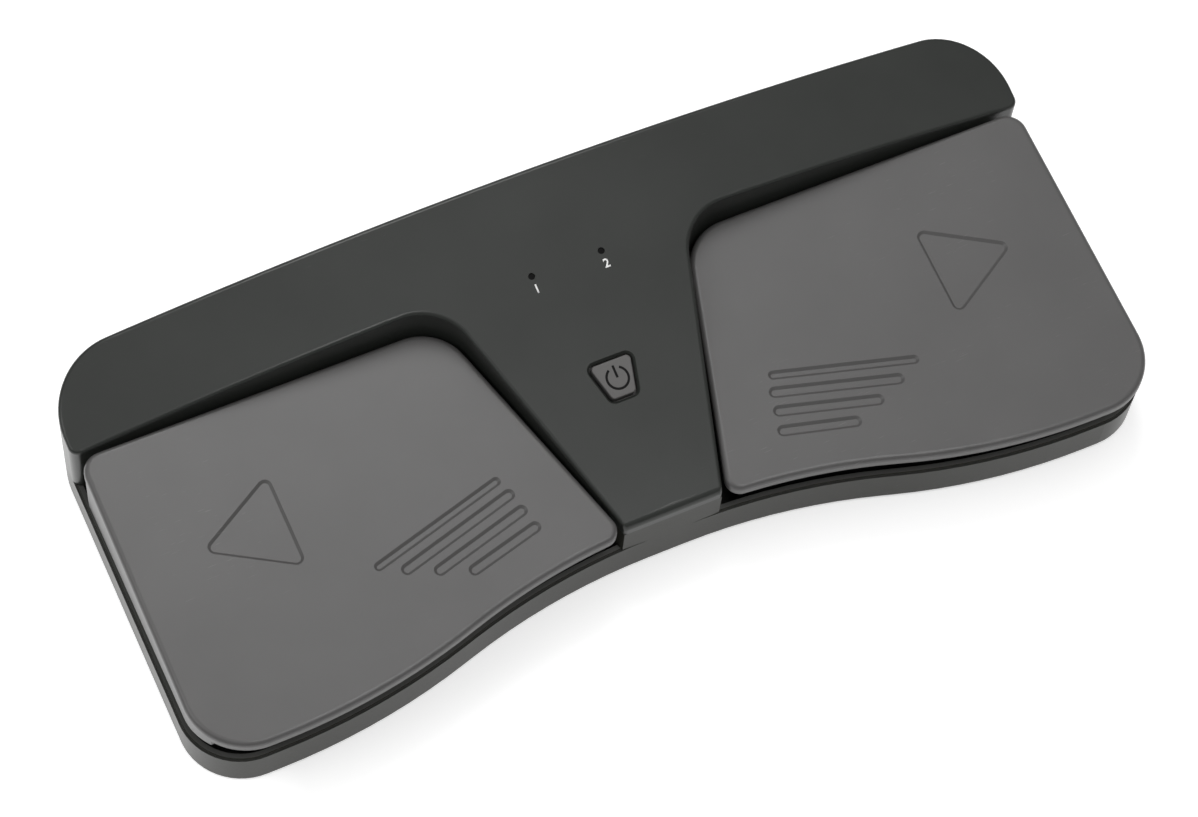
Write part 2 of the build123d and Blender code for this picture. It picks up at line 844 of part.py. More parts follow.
def make_button():
    cap = extrude(button_shape(0), button_proud + cover_wall + button_flange_gap)
    cap = fillet(cap.faces().sort_by(Axis.Z)[-1].edges(), button_round)
    cap = Pos(0, 0, -cover_wall - button_flange_gap) * cap
    flange = Pos(0, 0, -button_bottom()) * extrude(button_shape(button_flange), button_flange_thickness)
    return button_plane() * (cap + flange)


def make_light(side):
    under = cover_wall + seam_gap
    stem = Pos(0, 0, -light_sink) * extrude(Circle(light_radius - light_fit), light_sink - under)
    foot = Pos(0, 0, -under) * extrude(Circle(light_foot[0]), -light_foot[1])
    return light_plane(side) * (stem + foot)


def make_leds():
    away = (button_back - light_place[1]) / cos(radians(deck_slope))
    place = button_plane().offset(-key_board_depth)
    lamp = Box(*led_size, align=(Align.CENTER, Align.CENTER, Align.MIN))
    return Compound([place * Pos(side * light_place[0], away) * lamp for side in (1, -1)])


def make_foot(place, side):
    x, y = on_plan(place, side)
    pad = rod(x, y, 0, foot_height + foot_sink, foot_radius)
    return chamfer(pad.edges().sort_by(Axis.Z)[0], foot_chamfer)


def save(shape, name):
    export_step(shape, f"parts/{name}.step")


def main():
    os.makedirs("parts", exist_ok=True)
    save(make_base(), "base_shell")
    save(make_cover(), "top_cover")
    pairs = {
        "tread": make_tread(),
        "carrier": make_carrier(),
        "hinge_pin": make_pin(),
        "return_spring": make_spring(),
        "bumper": make_bumper(),
        "switch_board": make_switch_board(),
        "pedal_switch": make_switch(),
    }
    for name, shape in pairs.items():
        save(shape, f"right_{name}")
        save(mirrored(shape), f"left_{name}")
    for side, name in ((1, "right"), (-1, "left")):
        save(make_light(side), f"{name}_light_pipe")
        save(make_switch_board_screws(side), f"{name}_switch_board_screws")
        for place, end in zip(foot_places, ("back", "front")):
            save(make_foot(place, side), f"foot_{end}_{name}")
    save(make_case_screws(), "case_screws")
    save(make_board_screws(), "main_board_screws")
    save(make_key_screws(), "key_board_screws")
    save(make_main_board(), "main_board")
    save(make_radio(), "radio_module")
    save(make_chip(), "charging_chip")
    save(make_socket(), "charging_socket")
    save(make_battery(), "battery_pack")
    save(make_key_board(), "key_board")
    save(make_key_switch(), "power_switch")
    save(make_leds(), "indicator_leds")
    save(make_button(), "power_button")


main()
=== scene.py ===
import bpy, bmesh
from math import radians, sin, cos, atan2
from mathutils import Matrix, Vector


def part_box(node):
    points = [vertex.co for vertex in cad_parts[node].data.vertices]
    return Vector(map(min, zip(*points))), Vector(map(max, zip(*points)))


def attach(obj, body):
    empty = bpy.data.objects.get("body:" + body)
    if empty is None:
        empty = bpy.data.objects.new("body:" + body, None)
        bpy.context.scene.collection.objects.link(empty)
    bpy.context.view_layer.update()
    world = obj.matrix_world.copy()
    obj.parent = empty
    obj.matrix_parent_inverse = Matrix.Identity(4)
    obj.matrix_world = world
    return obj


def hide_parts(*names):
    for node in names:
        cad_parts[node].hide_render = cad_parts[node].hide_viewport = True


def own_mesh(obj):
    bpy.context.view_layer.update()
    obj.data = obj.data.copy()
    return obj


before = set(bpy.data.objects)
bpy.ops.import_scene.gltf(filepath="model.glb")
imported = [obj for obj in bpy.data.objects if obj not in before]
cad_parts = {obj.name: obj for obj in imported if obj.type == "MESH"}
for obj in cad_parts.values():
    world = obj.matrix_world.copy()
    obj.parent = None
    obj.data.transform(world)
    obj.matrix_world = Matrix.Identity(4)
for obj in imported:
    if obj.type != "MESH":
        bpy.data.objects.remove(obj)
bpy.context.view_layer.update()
mm = 0.001
hands = ("left", "right")
scene = bpy.context.scene
print("frame loaded:", len(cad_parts), "CAD nodes")


# small helpers for objects

def deselectAll():
    if bpy.context.object and bpy.context.object.mode != "OBJECT":
        bpy.ops.object.mode_set(mode="OBJECT")
    bpy.ops.object.select_all(action="DESELECT")


def pick(obj):
    deselectAll()
    bpy.context.view_layer.objects.active = obj
    obj.select_set(True)


def settle(obj):
    # place and turn go into the mesh, so the object itself stays at the origin
    pick(obj)
    bpy.ops.object.transform_apply(location=True, rotation=True, scale=True)


# small helpers for shader nodes

white = (1, 1, 1, 1)


def grey(level):
    return (level, level, level)


def emptyTree(owner):
    owner.use_nodes = True
    owner.node_tree.nodes.clear()
    return owner.node_tree


def addNode(tree, kind, x, y, **values):
    node = tree.nodes.new(kind)
    node.location = (x, y)
    for name, value in values.items():
        setattr(node, name, value)
    return node


def addRange(tree, x, y, low, high, toLow=0.0, toHigh=1.0):
    # low to high becomes toLow to toHigh, and nothing goes past them
    node = addNode(tree, "ShaderNodeMapRange", x, y)
    for index, value in enumerate((low, high, toLow, toHigh), 1):
        node.inputs[index].default_value = value
    return node


def addTint(tree, x, y, first=None, second=None):
    # a mix of two colours; a side that is left open gets its colour by a link
    node = addNode(tree, "ShaderNodeMix", x, y, data_type="RGBA")
    for index, colour in ((6, first), (7, second)):
        if colour:
            node.inputs[index].default_value = (*colour, 1)
    return node


def newGroup(name, inputs, outputs):
    group = bpy.data.node_groups.new(name, "ShaderNodeTree")
    for label, kind, start in inputs:
        socket = group.interface.new_socket(label, in_out="INPUT", socket_type=kind)
        if start is not None:
            socket.default_value = start
    for label, kind in outputs:
        group.interface.new_socket(label, in_out="OUTPUT", socket_type=kind)
    given = addNode(group, "NodeGroupInput", -900, 0)
    out = addNode(group, "NodeGroupOutput", 500, 0)
    return group, given, out


# grain of moulded plastic, shared by all the plastics: fine pebbles and a slow, broad mottle

grainPattern = {"pebbleDetail": 2.0, "cellSmooth": 0.6, "cellShare": 0.45, "broadDetail": 3.0}


def buildGrain(pattern):
    group, given, out = newGroup("mouldedGrain", [
        ("Vector", "NodeSocketVector", None),
        ("Pebble Scale", "NodeSocketFloat", 2600.0),
        ("Broad Scale", "NodeSocketFloat", 60.0),
    ], [("Height", "NodeSocketFloat"), ("Mottle", "NodeSocketFloat")])
    link = group.links.new
    pebble = addNode(group, "ShaderNodeTexNoise", -600, 150)
    pebble.inputs["Detail"].default_value = pattern["pebbleDetail"]
    cells = addNode(group, "ShaderNodeTexVoronoi", -600, -100, feature="SMOOTH_F1")
    cells.inputs["Smoothness"].default_value = pattern["cellSmooth"]
    broad = addNode(group, "ShaderNodeTexNoise", -600, -350)
    broad.inputs["Detail"].default_value = pattern["broadDetail"]
    for node, scale in ((pebble, "Pebble Scale"), (cells, "Pebble Scale"), (broad, "Broad Scale")):
        link(given.outputs["Vector"], node.inputs["Vector"])
        link(given.outputs[scale], node.inputs["Scale"])
    blend = addNode(group, "ShaderNodeMix", -300, 50, data_type="FLOAT")
    blend.inputs[0].default_value = pattern["cellShare"]
    link(pebble.outputs["Fac"], blend.inputs[2])
    link(cells.outputs["Distance"], blend.inputs[3])
    link(blend.outputs[0], out.inputs["Height"])
    link(broad.outputs["Fac"], out.inputs["Mottle"])
    return group


# a few pale dust specks: only the cells whose own random value is high enough have one

speckPattern = {"rareAbove": 0.93}


def buildSpecks(pattern):
    group, given, out = newGroup("dustSpecks", [
        ("Vector", "NodeSocketVector", None),
        ("Scale", "NodeSocketFloat", 120.0),
        ("Size", "NodeSocketFloat", 0.02),
    ], [("Mask", "NodeSocketFloat")])
    link = group.links.new
    spots = addNode(group, "ShaderNodeTexVoronoi", -600, 100, feature="F1")
    link(given.outputs["Vector"], spots.inputs["Vector"])
    link(given.outputs["Scale"], spots.inputs["Scale"])
    near = addNode(group, "ShaderNodeMath", -350, 100, operation="LESS_THAN")
    link(spots.outputs["Distance"], near.inputs[0])
    link(given.outputs["Size"], near.inputs[1])
    split = addNode(group, "ShaderNodeSeparateColor", -350, -100)
    link(spots.outputs["Color"], split.inputs[0])
    rare = addNode(group, "ShaderNodeMath", -150, -100, operation="GREATER_THAN")
    rare.inputs[1].default_value = pattern["rareAbove"]
    link(split.outputs[0], rare.inputs[0])
    both = addNode(group, "ShaderNodeMath", 50, 50, operation="MULTIPLY")
    link(near.outputs[0], both.inputs[0])
    link(rare.outputs[0], both.inputs[1])
    link(both.outputs[0], out.inputs["Mask"])
    return group


# hairline rubs in one direction, in patches only

rubPattern = {
    "stretch": (5.0, 70.0, 20.0), "detail": 1.0, "lineFrom": 0.71, "lineTo": 0.8,
    "patchScale": 28.0, "patchFrom": 0.52, "patchTo": 0.62,
}


def buildScratches(pattern):
    group, given, out = newGroup("fineScratches", [
        ("Vector", "NodeSocketVector", None),
        ("Turn", "NodeSocketFloat", 0.4),
        ("Scale", "NodeSocketFloat", 60.0),
    ], [("Mask", "NodeSocketFloat")])
    link = group.links.new
    turned = addNode(group, "ShaderNodeVectorRotate", -700, 100, rotation_type="Z_AXIS")
    link(given.outputs["Vector"], turned.inputs["Vector"])
    link(given.outputs["Turn"], turned.inputs["Angle"])
    drawn = addNode(group, "ShaderNodeMapping", -520, 100)
    drawn.inputs["Scale"].default_value = pattern["stretch"]
    link(turned.outputs[0], drawn.inputs["Vector"])
    lines = addNode(group, "ShaderNodeTexNoise", -330, 100)
    lines.inputs["Detail"].default_value = pattern["detail"]
    link(drawn.outputs[0], lines.inputs["Vector"])
    link(given.outputs["Scale"], lines.inputs["Scale"])
    thin = addRange(group, -150, 100, pattern["lineFrom"], pattern["lineTo"])
    link(lines.outputs["Fac"], thin.inputs[0])
    patches = addNode(group, "ShaderNodeTexNoise", -330, -150)
    patches.inputs["Scale"].default_value = pattern["patchScale"]
    link(given.outputs["Vector"], patches.inputs["Vector"])
    some = addRange(group, -150, -150, pattern["patchFrom"], pattern["patchTo"])
    link(patches.outputs["Fac"], some.inputs[0])
    both = addNode(group, "ShaderNodeMath", 100, 50, operation="MULTIPLY")
    link(thin.outputs[0], both.inputs[0])
    link(some.outputs[0], both.inputs[1])
    link(both.outputs[0], out.inputs["Mask"])
    return group


mouldedGrain = buildGrain(grainPattern)
dustSpecks = buildSpecks(speckPattern)
fineScratches = buildScratches(rubPattern)
print("grain, specks and scratches built")


def startMaterial(name):
    material = bpy.data.materials.new(name)
    tree = emptyTree(material)
    surface = addNode(tree, "ShaderNodeBsdfPrincipled", 400, 0)
    out = addNode(tree, "ShaderNodeOutputMaterial", 700, 0)
    tree.links.new(surface.outputs[0], out.inputs[0])
    place = addNode(tree, "ShaderNodeTexCoord", -1100, 0)
    return material, tree, surface, place


# moulded plastics: z values and depths in millimetres, scales per metre

coverLook = {
    "dark": (0.0212, 0.0234, 0.0211), "light": (0.027, 0.0294, 0.0268),
    "mottleFrom": 0.3, "mottleTo": 0.7,
    "pebble": 2400.0, "broad": 40.0, "rough": 0.3, "roughSpread": 0.035,
    "bump": 0.3, "bumpDepth": 0.03, "specular": 0.37,
    "dustAndPaintedLight": (0.35, 0.35, 0.34), "dustScale": 70.0, "dustSize": 0.014,
    "rubColour": (0.04, 0.042, 0.04), "rubTurn": 0.1,
}
# painted light: a lighter tone on the shaded ledge and a painted highlight on the lip
ledgePaintedLight = {
    "lowZ": 10.25, "lipZ": 10.55, "low": (0.045, 0.045, 0.042), "lip": (0.09, 0.09, 0.086),
    "levelFrom": 0.75, "levelTo": 0.95,
}
trayLook = dict(coverLook, dark=(0.0235, 0.0237, 0.019), light=(0.029, 0.0292, 0.0245),
                specular=0.18, ledge=ledgePaintedLight)
carrierLook = dict(coverLook, dark=grey(0.006), light=grey(0.009), rough=0.6)
treadLook = dict(
    coverLook, dark=(0.075, 0.073, 0.0725), light=(0.083, 0.0808, 0.0803),
    pebble=3000.0, broad=55.0, rough=0.4, roughSpread=0.04, bump=0.2, specular=0.6,
    dustSize=0.011, rubColour=(0.12, 0.118, 0.116), rubTurn=-0.05)
buttonLook = dict(treadLook, dark=(0.094, 0.091, 0.089), light=(0.107, 0.104, 0.102),
                  rough=0.5, specular=0.45)
mouldedLooks = {
    "coverPlastic": coverLook, "trayPlastic": trayLook, "treadPlastic": treadLook,
    "buttonPlastic": buttonLook, "carrierPlastic": carrierLook,
}


def paintLedgeLight(tree, place, colour, ledge):
    # painted light on the faces that look up: a little lighter on the ledge, which lies in shade
    # under the tread, and lighter still on the lip that stands above it, as a painted highlight
    link = tree.links.new
    faces = addNode(tree, "ShaderNodeNewGeometry", -800, 500)
    facing = addNode(tree, "ShaderNodeSeparateXYZ", -620, 500)
    link(faces.outputs["Normal"], facing.inputs[0])
    level = addRange(tree, -440, 500, ledge["levelFrom"], ledge["levelTo"])
    link(facing.outputs[2], level.inputs[0])
    spot = addNode(tree, "ShaderNodeSeparateXYZ", -620, 700)
    link(place.outputs["Object"], spot.inputs[0])
    height = addRange(tree, -440, 700, ledge["lowZ"] * mm, ledge["lipZ"] * mm)
    link(spot.outputs[2], height.inputs[0])
    # the painted lighter tone for the shaded ledge, rising to the painted highlight on the lip
    dustAndPaintedLight = addTint(tree, -200, 700, ledge["low"], ledge["lip"])
    link(height.outputs[0], dustAndPaintedLight.inputs[0])
    withLedgeLight = addTint(tree, 250, 500)
    link(level.outputs[0], withLedgeLight.inputs[0])
    link(colour, withLedgeLight.inputs[6])
    link(dustAndPaintedLight.outputs[2], withLedgeLight.inputs[7])
    return withLedgeLight.outputs[2]


def mouldedPlastic(name, look):
    # satin or matte plastic with grain, a slow change of tone, dust specks, rubs and, where the
    # look has a ledge, painted light on the ledge and lip
    material, tree, surface, place = startMaterial(name)
    link = tree.links.new
    grain = addNode(tree, "ShaderNodeGroup", -800, 100, node_tree=mouldedGrain)
    grain.inputs["Pebble Scale"].default_value = look["pebble"]
    grain.inputs["Broad Scale"].default_value = look["broad"]
    specks = addNode(tree, "ShaderNodeGroup", -800, -250, node_tree=dustSpecks)
    specks.inputs["Scale"].default_value = look["dustScale"]
    specks.inputs["Size"].default_value = look["dustSize"]
    rubs = addNode(tree, "ShaderNodeGroup", -800, -450, node_tree=fineScratches)
    rubs.inputs["Turn"].default_value = look["rubTurn"]
    for effect in (grain, specks, rubs):
        link(place.outputs["Object"], effect.inputs["Vector"])
    tone = addRange(tree, -550, 250, look["mottleFrom"], look["mottleTo"])
    link(grain.outputs["Mottle"], tone.inputs[0])
    colour = addTint(tree, -300, 250, look["dark"], look["light"])
    link(tone.outputs[0], colour.inputs[0])
    dusty = addTint(tree, -50, 200, second=look["dustAndPaintedLight"])
    link(colour.outputs[2], dusty.inputs[6])
    link(specks.outputs["Mask"], dusty.inputs[0])
    rubbed = addTint(tree, 130, 300, second=look["rubColour"])
    link(dusty.outputs[2], rubbed.inputs[6])
    link(rubs.outputs["Mask"], rubbed.inputs[0])
    shown = rubbed.outputs[2]
    # painted light on the tray's shaded ledge and its lip
    if "ledge" in look:
        shown = paintLedgeLight(tree, place, shown, look["ledge"])
    link(shown, surface.inputs["Base Color"])
    rough = addRange(tree, -300, -50, 0.0, 1.0,
                     look["rough"] - look["roughSpread"], look["rough"] + look["roughSpread"])
    link(grain.outputs["Height"], rough.inputs[0])
    link(rough.outputs[0], surface.inputs["Roughness"])
    bump = addNode(tree, "ShaderNodeBump", 100, -250)
    bump.inputs["Strength"].default_value = look["bump"]
    bump.inputs["Distance"].default_value = look["bumpDepth"] * mm
    link(grain.outputs["Height"], bump.inputs["Height"])
    link(bump.outputs[0], surface.inputs["Normal"])
    surface.inputs["Specular IOR Level"].default_value = look["specular"]
    return material


# plain finishes for small and inner pieces and for inks: two tones by noise and a light bump

plainStart = {
    "metal": 0.0, "scale": 400.0, "stretch": (1, 1, 1), "detail": 3.0,
    "bump": 0.05, "bumpDepth": 0.05, "roughShare": 0.2, "specular": 0.5,
}
plainLooks = {
    "turnedSteel": {"dark": grey(0.45), "light": grey(0.6), "rough": 0.3, "metal": 1.0,
                    "scale": 300.0, "stretch": (0.1, 1, 1)},
    "darkSteel": {"dark": grey(0.12), "light": grey(0.2), "rough": 0.35, "metal": 1.0,
                  "scale": 500.0},
    "springSteel": {"dark": (0.35, 0.35, 0.36), "light": grey(0.5), "rough": 0.35, "metal": 1.0,
                    "scale": 900.0},
    "footRubber": {"dark": grey(0.012), "light": grey(0.022), "rough": 0.85, "scale": 900.0,
                   "bump": 0.3},
    "boardGreen": {"dark": (0.008, 0.07, 0.025), "light": (0.015, 0.11, 0.04), "rough": 0.4,
                   "scale": 500.0},
    "switchBlack": {"dark": grey(0.012), "light": grey(0.02), "rough": 0.35, "scale": 700.0},
    "shieldTin": {"dark": (0.5, 0.5, 0.48), "light": (0.62, 0.62, 0.6), "rough": 0.32,
                  "metal": 1.0, "scale": 500.0},
    "batteryFoil": {"dark": grey(0.45), "light": grey(0.6), "rough": 0.4, "metal": 1.0,
                    "scale": 120.0, "bump": 0.2},
    "ledWhite": {"dark": (0.6, 0.6, 0.55), "light": (0.75, 0.75, 0.7), "rough": 0.3,
                 "scale": 900.0},
    "smokedPlastic": {"dark": grey(0.002), "light": grey(0.004), "rough": 0.35, "bump": 0.0,
                      "specular": 0.08},
    "captionInk": {"dark": (0.82, 0.82, 0.81), "light": (0.92, 0.92, 0.91), "rough": 0.5,
                   "scale": 1800.0, "bump": 0.1},
    "symbolInk": {"dark": grey(0.006), "light": grey(0.012), "rough": 0.7, "scale": 1800.0,
                  "bump": 0.1, "specular": 0.1},
}


def plainFinish(name, look):
    look = {**plainStart, **look}
    material, tree, surface, place = startMaterial(name)
    link = tree.links.new
    stretch = addNode(tree, "ShaderNodeMapping", -950, 100)
    stretch.inputs["Scale"].default_value = look["stretch"]
    link(place.outputs["Object"], stretch.inputs["Vector"])
    noise = addNode(tree, "ShaderNodeTexNoise", -800, 100)
    noise.inputs["Scale"].default_value = look["scale"]
    noise.inputs["Detail"].default_value = look["detail"]
    link(stretch.outputs[0], noise.inputs["Vector"])
    colour = addTint(tree, -300, 250, look["dark"], look["light"])
    link(noise.outputs["Fac"], colour.inputs[0])
    link(colour.outputs[2], surface.inputs["Base Color"])
    rough = addRange(tree, -300, -50, 0.0, 1.0, look["rough"] * (1 - look["roughShare"]),
                     min(1, look["rough"] * (1 + look["roughShare"])))
    link(noise.outputs["Fac"], rough.inputs[0])
    link(rough.outputs[0], surface.inputs["Roughness"])
    bump = addNode(tree, "ShaderNodeBump", 100, -250)
    bump.inputs["Strength"].default_value = look["bump"]
    bump.inputs["Distance"].default_value = look["bumpDepth"] * mm
    link(noise.outputs["Fac"], bump.inputs["Height"])
    link(bump.outputs[0], surface.inputs["Normal"])
    surface.inputs["Metallic"].default_value = look["metal"]
    surface.inputs["Specular IOR Level"].default_value = look["specular"]
    return material


finish = {name: mouldedPlastic(name, look) for name, look in mouldedLooks.items()}
finish.update({name: plainFinish(name, look) for name, look in plainLooks.items()})
print("materials built:", len(finish))

# which CAD node gets which finish

nodeFinish = {
    "base_shell": "trayPlastic", "top_cover": "coverPlastic", "power_button": "buttonPlastic",
    "power_switch": "switchBlack", "key_board": "boardGreen", "key_board_screws": "turnedSteel",
    "indicator_leds": "ledWhite", "main_board": "boardGreen", "main_board_screws": "turnedSteel",
    "radio_module": "shieldTin", "charging_chip": "switchBlack", "charging_socket": "shieldTin",
    "battery_pack": "batteryFoil", "case_screws": "turnedSteel",
}
for hand in hands:
    nodeFinish.update({
        f"{hand}_tread": "treadPlastic", f"{hand}_carrier": "carrierPlastic",
        f"{hand}_hinge_pin": "turnedSteel", f"{hand}_return_spring": "springSteel",
        f"{hand}_bumper": "footRubber", f"{hand}_switch_board": "boardGreen",
        f"{hand}_pedal_switch": "switchBlack", f"{hand}_switch_board_screws": "turnedSteel",
        f"{hand}_light_pipe": "smokedPlastic", f"foot_back_{hand}": "footRubber",
        f"foot_front_{hand}": "footRubber",
    })
for name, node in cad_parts.items():
    node.data.materials.clear()
    node.data.materials.append(finish[nodeFinish[name]])
print("CAD nodes dressed")

mergeWithin = 0.001  # mm


def mergedCopy(node, name, material, smoothUnder):
    # a CAD node's mesh as one closed piece that stands for the node
    piece = bpy.data.objects.new(name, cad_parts[node].data.copy())
    scene.collection.objects.link(piece)
    pick(piece)
    bpy.ops.object.mode_set(mode="EDIT")
    bpy.ops.mesh.select_all(action="SELECT")
    bpy.ops.mesh.remove_doubles(threshold=mergeWithin * mm)
    bpy.ops.object.mode_set(mode="OBJECT")
    bpy.ops.object.shade_smooth_by_angle(angle=radians(smoothUnder))
    piece.data.materials.clear()
    piece.data.materials.append(material)
    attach(piece, "housing")
    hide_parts(node)
    return piece


# case screws: a cross recess in each head, which shows from below

screwHeads = {
    "recessLong": 2.2, "recessWide": 0.6, "recessDeep": 0.8,
    "headRadius": 4.0, "faceBand": 0.02, "smoothUnder": 30.0,
}


def headCentres(screws, lowest, values):
    # the corners on the flat of each head, gathered head by head, give its centre
    heads = []
    for corner in screws.data.vertices:
        if corner.co.z > lowest + values["faceBand"] * mm:
            continue
        for head in heads:
            if (corner.co.xy - head[0].xy).length < 2 * values["headRadius"] * mm:
                head.append(corner.co.copy())
                break
        else:
            heads.append([corner.co.copy()])
    return [[(min(c[axis] for c in head) + max(c[axis] for c in head)) / 2 for axis in (0, 1)]
            for head in heads]


def buildCaseScrews(values):
    screws = mergedCopy("case_screws", "caseScrews", finish["darkSteel"],
                        values["smoothUnder"])
    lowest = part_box("case_screws")[0][2]
    centres = headCentres(screws, lowest, values)
    long, wide = values["recessLong"], values["recessWide"]
    deselectAll()
    bars = []
    for x, y in centres:
        for along, across in ((long, wide), (wide, long)):
            bpy.ops.mesh.primitive_cube_add(size=1, location=(x, y, lowest))
            bar = bpy.context.object
            bar.scale = (along * mm, across * mm, 2 * values["recessDeep"] * mm)
            settle(bar)
            bars.append(bar)
    deselectAll()
    for bar in bars:
        bar.select_set(True)
    bpy.context.view_layer.objects.active = bars[0]
    bpy.ops.object.join()
    cutter = bpy.context.object
    pick(screws)
    cut = screws.modifiers.new("recess", "BOOLEAN")
    cut.operation = "DIFFERENCE"
    cut.solver = "EXACT"
    cut.use_self = True
    cut.object = cutter
    bpy.ops.object.modifier_apply(modifier="recess")
    bpy.data.objects.remove(cutter)
    print("case screws:", len(centres), "heads with a recess")


buildCaseScrews(screwHeads)

# return springs: each coil stands on the floor of the tray and becomes a merged copy with a mesh
# of its own

coils = {"pressedShare": 0.835, "smoothUnder": 40.0}


def buildCoil(hand, values):
    coil = mergedCopy(f"{hand}_return_spring", f"{hand}Coil", finish["springSteel"],
                      values["smoothUnder"])
    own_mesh(coil)


for hand in hands:
    buildCoil(hand, coils)

# printed marks: plain numbers in front of the two lights, the on/off sign on the key

artHeight = 60.0  # flat artwork is laid out this far above the floor, in mm, and then dropped
captions = {
    "words": (("captionLeft", "1", -8.0), ("captionRight", "2", 8.0)),
    "y": 21.2, "height": 2.7, "bolder": 0.05, "proud": 0.025,
}
powerSign = {
    "centre": (0.1, -2.15), "radius": 2.34, "line": 0.52, "gapHalf": 30.0,
    "barFrom": 0.6, "barTo": -2.1, "proud": 0.02, "ringSides": 96, "barSteps": (2, 8),
}


def printOn(piece, node, body, proud, ink):
    # turn flat artwork face up, drop it straight down, then give it the thickness of ink
    settle(piece)
    bpy.ops.object.mode_set(mode="EDIT")
    bpy.ops.mesh.select_all(action="DESELECT")
    sheet = bmesh.from_edit_mesh(piece.data)
    for face in sheet.faces:
        face.select_set(face.normal.z < 0)
    bmesh.update_edit_mesh(piece.data)
    bpy.ops.mesh.flip_normals()
    bpy.ops.object.mode_set(mode="OBJECT")
    drop = piece.modifiers.new("drop", "SHRINKWRAP")
    drop.wrap_method = "PROJECT"
    drop.use_project_z = True
    drop.use_negative_direction = True
    drop.use_positive_direction = False
    drop.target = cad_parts[node]
    bpy.ops.object.modifier_apply(modifier="drop")
    coat = piece.modifiers.new("coat", "SOLIDIFY")
    coat.thickness = proud * mm
    coat.offset = 1.0
    bpy.ops.object.modifier_apply(modifier="coat")
    piece.data.materials.clear()
    piece.data.materials.append(ink)
    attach(piece, body)


def printCaptions(values):
    for name, words, x in values["words"]:
        deselectAll()
        bpy.ops.object.text_add(location=(x * mm, values["y"] * mm, artHeight * mm))
        piece = bpy.context.object
        piece.name = name
        piece.data.body = words
        piece.data.size = values["height"] * mm
        piece.data.offset = values["bolder"] * mm
        piece.data.align_x = "CENTER"
        piece.data.align_y = "CENTER"
        bpy.ops.object.convert(target="MESH")
        printOn(piece, "top_cover", "housing", values["proud"], finish["captionInk"])


def printPowerSign(values):
    cx, cy = (c * mm for c in values["centre"])
    inner = values["radius"] - values["line"] / 2
    outer = values["radius"] + values["line"] / 2
    centre = (cx, cy, artHeight * mm)
    deselectAll()
    bpy.ops.mesh.primitive_circle_add(
        vertices=values["ringSides"], radius=inner * mm, location=centre)
    ring = bpy.context.object
    ring.name = "powerSign"
    bpy.ops.object.mode_set(mode="EDIT")
    bpy.ops.mesh.select_all(action="DESELECT")
    loop = bmesh.from_edit_mesh(ring.data)
    for corner in loop.verts:
        corner.select_set(abs(atan2(corner.co.x, corner.co.y)) < radians(values["gapHalf"]))
    bmesh.update_edit_mesh(ring.data)
    bpy.ops.mesh.delete(type="VERT")
    bpy.ops.mesh.select_all(action="SELECT")
    bpy.ops.mesh.extrude_region_move()
    bpy.ops.transform.resize(value=(outer / inner, outer / inner, 1), center_override=centre)
    bpy.ops.object.mode_set(mode="OBJECT")
    barLong = values["barFrom"] - values["barTo"]
    barY = (values["barTo"] + barLong / 2) * mm
    bpy.ops.mesh.primitive_grid_add(
        x_subdivisions=values["barSteps"][0], y_subdivisions=values["barSteps"][1],
        size=1 * mm, location=(cx, barY, artHeight * mm))
    bar = bpy.context.object
    bar.scale = (values["line"], barLong, 1)
    settle(bar)
    ring.select_set(True)
    bpy.context.view_layer.objects.active = ring
    bpy.ops.object.join()
    printOn(ring, "power_button", "power_button", values["proud"], finish["symbolInk"])


printCaptions(captions)
printPowerSign(powerSign)
print("captions and power sign printed")

# camera: the photograph's own viewing angle, in degrees and millimetres

cameraView = {
    "azimuth": -31.07, "elevation": 62.59, "roll": 7.25,
    "distance": 782.14, "target": (-4.43, -3.75, 20.0),
    "lens": 112.31, "sensor": 36, "nearest": 10.0,
}


def placeCamera(view):
    az, el, roll = radians(view["azimuth"]), radians(view["elevation"]), radians(view["roll"])
    back = Vector((sin(az) * cos(el), -cos(az) * cos(el), sin(el)))
    right = Vector((0, 0, 1)).cross(back).normalized()
    up = back.cross(right)
    turnedRight = right * cos(roll) + up * sin(roll)
    turnedUp = up * cos(roll) - right * sin(roll)
    bpy.ops.object.camera_add(location=(Vector(view["target"]) + back * view["distance"]) * mm)
    camera = bpy.context.object
    camera.rotation_euler = Matrix((turnedRight, turnedUp, back)).transposed().to_euler()
    camera.data.lens = view["lens"]
    camera.data.sensor_width = view["sensor"]
    camera.data.clip_start = view["nearest"] * mm
    scene.camera = camera


placeCamera(cameraView)
print("camera placed")

# studio, in metres: a pale paper floor that glows a little more far away and on the left,
# three soft lamps, and air that gives most of its light from straight above

studio = {
    "paper": grey(0.86), "floorSize": 4.0, "floorSteps": 4,
    "nearLift": 0.42, "farLift": 1.0, "nearEnd": 0.3, "farStart": 0.9,
    "leftLift": 0.95, "leftFrom": -0.09, "leftTo": -0.13,
    "airLow": 0.15, "airHigh": 0.9, "airSteep": 2.0, "airSeen": 1.0,
    "aim": (0, 0, 0.02),
    "softboxes": {
        "frontSoftbox": {"place": (0.12, -0.33, 0.93), "size": 0.34, "watts": 1.9},
        "backSoftbox": {"place": (0.1, 0.5, 0.85), "size": 0.45, "watts": 2.6},
        "leftSoftbox": {"place": (-0.75, 0.1, 0.68), "size": 0.5, "watts": 1.4},
    },
}


